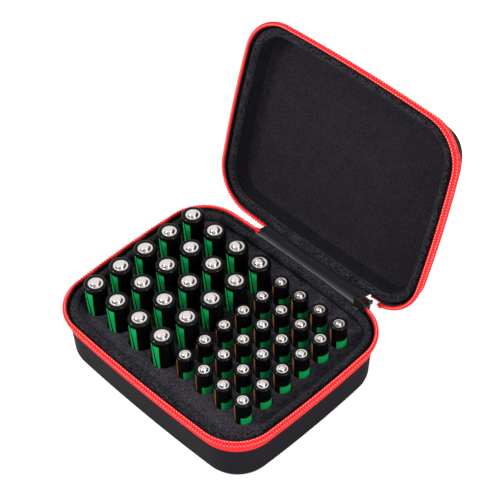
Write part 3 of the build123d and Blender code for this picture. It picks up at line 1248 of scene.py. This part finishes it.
@dataclass
class HingeBand:
    """Satin band that joins the two halves and bulges inwards over the hinge axis, in millimetres."""

    base: HalfFrame
    lid: HalfFrame
    left: float = -35.9
    right: float = 50.6
    inset: float = 3.0
    base_top: float = 7.4
    base_foot: float = 20.0
    lid_depths: tuple[float, ...] = (-5.4, -2.9, -0.4, 2.1, 4.1, 4.5, 7.0, 10.5, 14.0)
    thickness: float = 0.9
    lid_flare: float = 2.2
    flared_steps: int = 4
    base_steps: int = 4
    arc_steps: int = 14
    length_steps: int = 48
    crease: float = 60.0

    def middle_line(self, x: float) -> list[Vector]:
        """Draws the band across the hinge at one place along it.

        Args:
            x: Place along the hinge.

        Returns:
            Points from the foot on the base, over the hinge, to the foot on the lid, in metres.
        """
        hinge = lid_hinge()
        centre = Vector((x * MM, hinge["pos_m"][1], hinge["pos_m"][2]))
        direction = self.base.rim.back_direction(x)
        base_run = run((self.inset, self.base_foot), (self.inset, self.base_top), self.base_steps)
        on_base = [self.base.on_rim(direction, *place) for place in base_run]
        on_lid = [self.lid.on_rim(direction, self.inset, depth) for depth in self.lid_depths]
        start = self.base.on_rim(direction, self.inset, self.base_top) - centre
        end = on_lid[0] - centre
        first = math.atan2(start.z, start.y) % math.tau
        last = math.atan2(end.z, end.y)
        arc = []
        for step in range(self.arc_steps):
            share = step / self.arc_steps
            angle = first + (last - first) * share
            radius = start.yz.length + (end.yz.length - start.yz.length) * share
            arc.append(centre + Vector((0, math.cos(angle), math.sin(angle))) * radius)
        line = on_base + arc + on_lid
        flare = self.lid_flare * (x - self.left) / (self.right - self.left)
        flared = len(line) - self.flared_steps
        return [
            Vector(((x + (flare if number >= flared else 0.0)) * MM, point.y, point.z))
            for number, point in enumerate(line)
        ]

    def build(self) -> None:
        """Builds the band as a thin closed sheet from the base over the hinge to the lid."""
        plan = MeshPlan()
        half = self.thickness / 2 * MM
        rows = []
        for step in range(self.length_steps + 1):
            x = self.left + (self.right - self.left) * step / self.length_steps
            line = self.middle_line(x)
            neighbours = zip([line[0], *line[:-1]], [*line[1:], line[-1]])
            normals = [Vector((1, 0, 0)).cross((after - before).normalized()) for before, after in neighbours]
            front = [point + normal * half for point, normal in zip(line, normals)]
            back = [point - normal * half for point, normal in zip(line, normals)]
            rows.append(front + back[::-1])
        plan.add([point for row in rows for point in row], tube_faces(len(rows), len(rows[0])))
        made = plan.piece("hinge_band", HINGE_CLOTH, crease=self.crease)
        start = self.base.on_rim(QUARTER, self.inset, self.base_top)
        end = self.lid.on_rim(QUARTER, self.inset, self.lid_depths[0])
        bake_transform(made)
        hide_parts("base_hinge_strip", "lid_hinge_strip", "hinge_roll")
        log.info("hinge_band bends from base to lid, %d faces", len(made.data.polygons))


@dataclass(frozen=True)
class CellSize:
    """One size of round cell and its block of places, in millimetres."""

    name: str
    node: str
    radius: float
    can_height: float
    nub_radius: float
    nub_height: float
    columns: int
    rows: int
    column_pitch: float
    row_pitch: float
    block_x: float
    block_y: float

    def centres(self) -> list[Point]:
        """Lists the places of the cells of this size."""
        return [
            (
                self.block_x + (column - (self.columns - 1) / 2) * self.column_pitch,
                self.block_y + (row - (self.rows - 1) / 2) * self.row_pitch,
            )
            for column in range(self.columns)
            for row in range(self.rows)
        ]


@dataclass(frozen=True)
class Ink:
    """One field of colour on a sleeve, plain or shaped as a blade with a thin line along its slanted edge.

    It has its finish, its two directions in degrees, its two heights in millimetres, and for a blade the
    shares of its width at which its broad part begins, at its foot and at its top.
    """

    finish: Finish
    start: float
    end: float
    foot: float
    top: float
    blade: Point | None = None
    blade_rows: int = 8
    columns: int = 12
    line_back: int = 2
    edge_shares: tuple[float, ...] = (0.0, 0.2, 0.4, 0.55, 0.68, 0.87, 1.0)

    @property
    def heights(self) -> list[float]:
        """Heights at which the sleeve needs a ring of points for this field."""
        rows = self.blade_rows if self.blade else 1
        return [self.foot + (self.top - self.foot) * row / rows for row in range(rows + 1)]

    def share(self, degrees: float) -> float:
        """Gives a direction as a share of the field's width."""
        return (degrees - self.start) / (self.end - self.start)

    def covers(self, height: float, degrees: float) -> bool:
        """Tells whether a place has this ink, before the sleeve is skewed.

        Args:
            height: Height on the sleeve.
            degrees: Direction round the cell.

        Returns:
            Whether the ink is there.
        """
        share = self.share(degrees)
        if not (self.foot < height < self.top and 0 < share < 1):
            return False
        column = int(share * self.columns)
        broad = self.columns // 2
        return self.blade is None or column >= broad or column == broad - self.line_back

    def skewed(self, height: float, degrees: float) -> float:
        """Moves a direction in the field along, so that the broad part begins where the blade has its edge.

        Args:
            height: Height on the sleeve.
            degrees: Direction round the cell.

        Returns:
            The direction to draw at.
        """
        share = self.share(degrees)
        if self.blade is None or not (self.foot <= height <= self.top and 0 <= share <= 1):
            return degrees
        low, high = self.blade
        edge = low + (high - low) * (height - self.foot) / (self.top - self.foot)
        column = round(share * self.columns)
        narrow = len(self.edge_shares) - 1
        moved = edge * self.edge_shares[column] if column <= narrow else 1 - 2 * (1 - share) * (1 - edge)
        return self.start + (self.end - self.start) * moved


class Print(Enum):
    """Design of a sleeve: a blade with a lined edge, or a low patch beside a narrow upright stripe."""

    BLADE = (Ink(SLEEVE_GREEN, start=-150.0, end=-60.0, foot=25.0, top=45.5, blade=(0.9, 0.64)),)
    PATCH = (
        Ink(SLEEVE_GREEN, start=-61.0, end=33.0, foot=14.0, top=32.6),
        Ink(SLEEVE_COPPER, start=-141.0, end=-106.0, foot=14.0, top=40.8),
    )


class Zone(Enum):
    """What a stretch of a cell's section is: printed sleeve, plated end, or the ring round the nub with
    painted shade.
    """

    SLEEVE = "sleeve"
    END = "end"
    PIERCED = "pierced"


LARGE_CELL = CellSize(
    "large_cells", "aa_cells", radius=7.25, can_height=49.0, nub_radius=2.75, nub_height=1.5,
    columns=4, rows=5, column_pitch=19.8, row_pitch=20.45, block_x=-34.8, block_y=-0.9,
)
SMALL_CELL = CellSize(
    "small_cells", "aaa_cells", radius=5.25, can_height=43.6, nub_radius=1.9, nub_height=0.9,
    columns=4, rows=6, column_pitch=16.15, row_pitch=16.18, block_x=36.15, block_y=1.05,
)
CELL_FINISHES = (SLEEVE_BLACK, SLEEVE_GREEN, SLEEVE_COPPER, NICKEL, RING_PAINTED_SHADE)
SectionPoint = tuple[float, float, Zone]


@dataclass
class CellSet:
    """All cells of one size: drawn can, plated end with its nub, and a printed sleeve, in millimetres.

    The parts of its section are points with a change of radius, a change of height and the zone that starts
    there. The foot counts from the can's side, the disc from the edge of the plated end, and the nub's foot
    and top from the nub's side.
    """

    size: CellSize
    design: Print
    floor: float = 5.85
    sides: int = 48
    shoulder: float = 1.2
    shoulder_steps: int = 6
    disc_share: float = 0.64
    nub_flat_share: float = 0.4
    shade_arc_pitch: float = 120.0
    shade_arc_width: float = 75.0
    crease: float = 50.0
    foot: Sequence[SectionPoint] = (
        (-1.6, 0.0, Zone.END), (-0.5, 0.0, Zone.END), (-0.1, 0.35, Zone.SLEEVE), (0.0, 0.8, Zone.SLEEVE),
    )
    disc: Sequence[SectionPoint] = (
        (0.35, 0.02, Zone.SLEEVE), (0.1, -0.05, Zone.SLEEVE), (0.0, -0.3, Zone.END), (-0.3, -0.32, Zone.END),
    )
    nub_foot: Sequence[SectionPoint] = (
        (0.75, -0.3, Zone.PIERCED), (0.2, -0.42, Zone.END), (0.05, -0.2, Zone.END), (0.0, 0.3, Zone.END),
    )
    nub_top: Sequence[SectionPoint] = (
        (0.0, -0.45, Zone.END), (-0.14, -0.14, Zone.END), (-0.45, 0.0, Zone.END),
    )

    def profile(self) -> list[SectionPoint]:
        """Draws half of a cell's section from its foot to its nub.

        Returns:
            Radius, height and zone of each point; the zone is that of the stretch that starts there.
        """
        radius, nub, top = self.size.radius, self.size.nub_radius, self.size.can_height
        nub_height = top + self.size.nub_height

        def part(changes: Sequence[SectionPoint], side: float, level: float) -> list[SectionPoint]:
            """Sets one part of the section at its radius and its height."""
            return [(side + out, level + up, zone) for out, up, zone in changes]

        rings = sorted({height for ink in self.design.value for height in ink.heights})
        section = part(self.foot, radius, 0.0) + [(radius, height, Zone.SLEEVE) for height in rings]
        for cosine, sine in quarter_turn(self.shoulder_steps):
            side, level = radius - self.shoulder * (1 - cosine), top - self.shoulder * (1 - sine)
            section.append((side, level, Zone.SLEEVE))
        section += part(self.disc, radius * self.disc_share, top) + part(self.nub_foot, nub, top)
        section += part(self.nub_top, nub, nub_height)
        return section + [(nub * self.nub_flat_share, nub_height, Zone.END)]

    def finish_of(self, zone: Zone, height: float, degrees: float) -> Finish:
        """Gives the finish of a face.

        Args:
            zone: Zone of the face.
            height: Height of its middle on the cell.
            degrees: Direction of its middle round the cell.

        Returns:
            One of a cell's finishes.
        """
        if zone is Zone.SLEEVE:
            inks = (ink.finish for ink in self.design.value if ink.covers(height, degrees))
            return next(inks, SLEEVE_BLACK)
        # Arcs of the ring round the nub take the darker metal, which is painted shade.
        shaded_arc = zone is Zone.PIERCED and degrees % self.shade_arc_pitch < self.shade_arc_width
        return RING_PAINTED_SHADE if shaded_arc else NICKEL

    def skewed(self, height: float, angle: float) -> float:
        """Gives where a point of the sleeve is drawn, after its print's skew.

        Args:
            height: Height on the cell.
            angle: Angle round the cell.

        Returns:
            Angle to draw the point at.
        """
        degrees = math.degrees(angle)
        for ink in self.design.value:
            degrees = ink.skewed(height, degrees)
        return math.radians(degrees)

    def build(self) -> None:
        """Builds the cells as one piece, each standing at its place."""
        plan = MeshPlan()
        section = self.profile()
        turn = [angle - math.pi for angle in circle(self.sides)]
        points = []
        for radius, height, _ in section:
            for angle in (self.skewed(height, way) for way in turn):
                points.append((radius * math.cos(angle), radius * math.sin(angle), self.floor + height))
        half_side = 180 / self.sides
        shown = [
            self.finish_of(zone, (height + above) / 2, math.degrees(way) + half_side)
            for (_, height, zone), (_, above, _) in zip(section, section[1:])
            for way in turn
        ]
        finishes = [CELL_FINISHES.index(finish) for finish in (*shown, NICKEL, NICKEL)]
        faces = tube_faces(len(section), self.sides)
        for x, y in self.size.centres():
            plan.add([Vector((x + out_x, y + out_y, z)) * MM for out_x, out_y, z in points], faces, finishes)
        made = plan.piece(self.size.name, *CELL_FINISHES, crease=self.crease)
        place_piece(made, "base", "cell", self.size.node)


@dataclass
class FoamTray:
    """Foam insert faced with fleece, with a soft lip at the wall and the cells' sockets, in millimetres."""

    frame: HalfFrame
    sizes: Sequence[CellSize]
    wall_inset: float = 9.35
    draft: float = math.tan(math.radians(3.0))
    edge_depth: float = 6.2
    top_depth: float = 9.5
    lip_depth: float = 7.2
    lip_width: float = 3.4
    lip_gap: float = 0.05
    lip_steps: int = 6
    foot_depth: float = 36.65
    clearance: float = 0.25
    socket_round: float = 0.7
    socket_steps: int = 3
    socket_sides: int = 40
    spacing: float = 3.0

    def socket_rings(self, centre: Point, radius: float) -> list[list[Vector]]:
        """Draws the rings of one socket from its soft upper edge to the foot.

        Args:
            centre: Middle of the socket.
            radius: Radius of its wall.

        Returns:
            Rings of points, the widest first.
        """
        levels = [
            (radius + self.socket_round * (1 - sine), self.top_depth + self.socket_round * (1 - cosine))
            for cosine, sine in quarter_turn(self.socket_steps)
        ]
        levels.append((radius, self.foot_depth))
        return [
            [
                self.frame.place(centre[0] + reach * math.cos(a), centre[1] + reach * math.sin(a), depth)
                for a in circle(self.socket_sides)
            ]
            for reach, depth in levels
        ]

    def wall_rings(self) -> list[list[Vector]]:
        """Draws the rings of the tray's wall.

        Returns:
            Rings of points from the inner edge of the lip to the foot.
        """
        profile = [
            (self.wall_inset + (depth - self.edge_depth) * self.draft, depth)
            for depth in (self.foot_depth, self.lip_depth)
        ]
        lip_end = self.wall_inset + self.lip_width
        for cosine, sine in quarter_turn(self.lip_steps)[1:]:
            inset = lip_end - self.lip_width * cosine + self.lip_gap
            profile.append((inset, self.lip_depth + (self.top_depth - self.lip_depth) * sine))
        directions = self.frame.rim.directions(self.spacing)[:-1]
        return [
            [self.frame.on_rim(direction, inset, depth) for direction in directions]
            for inset, depth in reversed(profile)
        ]

    def build(self) -> None:
        """Builds the tray as one closed piece, its flat faces filled between the sockets."""
        plan = MeshPlan()
        stacks = [self.wall_rings()]
        for size in self.sizes:
            radius = size.radius + self.clearance
            stacks += [self.socket_rings(centre, radius) for centre in size.centres()]
        tops, feet = [], []
        for rings in stacks:
            first, count = len(plan.vertices), len(rings[0])
            plan.add([point for ring in rings for point in ring], grid_faces(len(rings), count, False, True))
            tops.append(range(first, first + count))
            feet.append(range(len(plan.vertices) - count, len(plan.vertices)))
        made = plan.piece("foam_tray", TRAY_FLEECE, flats=(tops, feet))
        place_piece(made, "base", "foam", "foam_insert")


def dress_node(node: str, finish: Finish, bevel_mm: float, segments: int = 3, sharp: float = 40.0) -> None:
    """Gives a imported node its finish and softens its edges.

    Args:
        node: Name of the node.
        finish: Finish that covers it.
        bevel_mm: Width of the rounded edges.
        segments: Steps of a rounded edge.
        sharp: Angle in degrees above which an edge is rounded.
    """
    shown = frame["nodes"][node]
    shown.data.materials.clear()
    shown.data.materials.append(finish.material())
    soften = shown.modifiers.new("soft_edges", "BEVEL")
    soften.width = bevel_mm * MM
    soften.segments = segments
    soften.limit_method = "ANGLE"
    soften.angle_limit = math.radians(sharp)
    soften.harden_normals = True
    log.info("%s keeps its solid, in %s", node, finish.name)


@dataclass
class Slider:
    """Die-cast slider with its pin and puller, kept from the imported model, in millimetres."""

    body_edge: float = 0.3
    pin_edge: float = 0.15
    puller_edge: float = 0.35

    def build(self) -> None:
        """Paints the slider's body and gives the pin and puller their metal."""
        dress_node("slider_body", SLIDER_PAINT, self.body_edge)
        dress_node("puller_pin", PULLER_METAL, self.pin_edge)
        dress_node("puller_tab", PULLER_METAL, self.puller_edge)


@dataclass(frozen=True)
class Softbox:
    """Square lamp that faces the case: its name, its place and side in metres, and its power in watts."""

    name: str
    place: Place
    side: float
    power: float
    aim: Place = (0.0, 0.05, 0.05)

    def build(self) -> None:
        """Hangs the lamp in its place."""
        data = bpy.data.lights.new(self.name, "AREA")
        data.size = self.side
        data.energy = self.power
        made = add_object(self.name, data)
        made.location = self.place
        made.rotation_euler = (Vector(self.place) - Vector(self.aim)).to_track_quat("Z", "Y").to_euler()


KEY_SOFTBOX = Softbox("key_softbox", (-0.75, -0.95, 1.05), side=0.3, power=16.0)
FILL_SOFTBOX = Softbox("fill_softbox", (1.25, -0.1, 0.85), side=0.4, power=10.0)


@dataclass
class Studio:
    """Pale floor, soft lamps and the camera of the photograph, in metres."""

    eye: Place = (0.4849, -0.4409, 0.7962)
    aim: Place = (-0.02496, 0.05131, 0.0425)
    roll_degrees: float = -1.24
    lens_mm: float = 118.4
    sensor_mm: float = 36.0
    floor_size: float = 6.0
    surround: float = 0.64

    def camera(self) -> None:
        """Sets the camera at the photograph's place, with its slight roll."""
        data = bpy.data.cameras.new("photo_camera")
        data.lens = self.lens_mm
        data.sensor_width = self.sensor_mm
        back = (Vector(self.eye) - Vector(self.aim)).normalized()
        right = Vector((0, 0, 1)).cross(back).normalized()
        up = back.cross(right)
        roll = math.radians(self.roll_degrees)
        turned_right = right * math.cos(roll) + up * math.sin(roll)
        turned_up = up * math.cos(roll) - right * math.sin(roll)
        place = Matrix((turned_right, turned_up, back)).transposed().to_4x4()
        made = add_object("photo_camera", data)
        made.matrix_world = Matrix.Translation(self.eye) @ place
        bpy.context.scene.camera = made

    def world(self) -> None:
        """Fills the surroundings with even light that looks white to the camera and in reflections."""
        made = bpy.data.worlds.new("studio_surround")
        made.use_nodes = True
        recipe = Recipe(made.node_tree, made.node_tree.nodes["Background"])
        rays = [
            add_node(recipe.tree, "LightPath", output, {}) for output in ("Is Camera Ray", "Is Glossy Ray")
        ]
        strength = recipe.ranged(recipe.math("MAXIMUM", *rays), (self.surround, 1.0))
        recipe.shade(Color=srgb("#ffffff"), Strength=strength)
        bpy.context.scene.world = made

    def floor(self) -> None:
        """Lays the pale floor."""
        plan = MeshPlan()
        reach = self.floor_size / 2
        corners = [Vector((x * reach, y * reach, 0)) for x, y in ((-1, -1), (1, -1), (1, 1), (-1, 1))]
        plan.add(corners, [(0, 1, 2, 3)])
        made = plan.piece("studio_floor", PAPER)

    def build(self) -> None:
        """Builds the surroundings, the floor, the lamps and the camera."""
        bpy.context.scene.view_settings.view_transform = "Standard"
        self.world()
        self.floor()
        KEY_SOFTBOX.build()
        FILL_SOFTBOX.build()
        self.camera()


def main() -> None:
    """Builds the case piece by piece, then the studio."""
    logging.basicConfig(level=logging.INFO, format="%(name)s: %(message)s")
    rim = Rim()
    base, lid = HalfFrame(Half.BASE, rim), HalfFrame(Half.LID, rim)
    Shell(base, height=rim.height, edge_radius=8.0, lining_radius=3.0, hinge_rise=1.1).build()
    Shell(lid, height=22.5, edge_radius=15.0, lining_radius=9.15, hinge_rise=2.6).build()
    ZipHalf(base, right_end=53.0, tail_end=53.0, shift=0.0, tape_height=9.2, tape_slant=2.5).build()
    ZipHalf(
        lid, right_end=59.4, tail_end=51.0, shift=1.0, tape_height=8.2, tape_slant=2.4, coil_foot=4.4,
        corner_rise=2.4,
    ).build()
    HingeBand(base, lid).build()
    FoamTray(base, (LARGE_CELL, SMALL_CELL)).build()
    CellSet(LARGE_CELL, Print.BLADE).build()
    CellSet(SMALL_CELL, Print.PATCH).build()
    Slider().build()
    Studio().build()


if __name__ == "__main__":
    main()
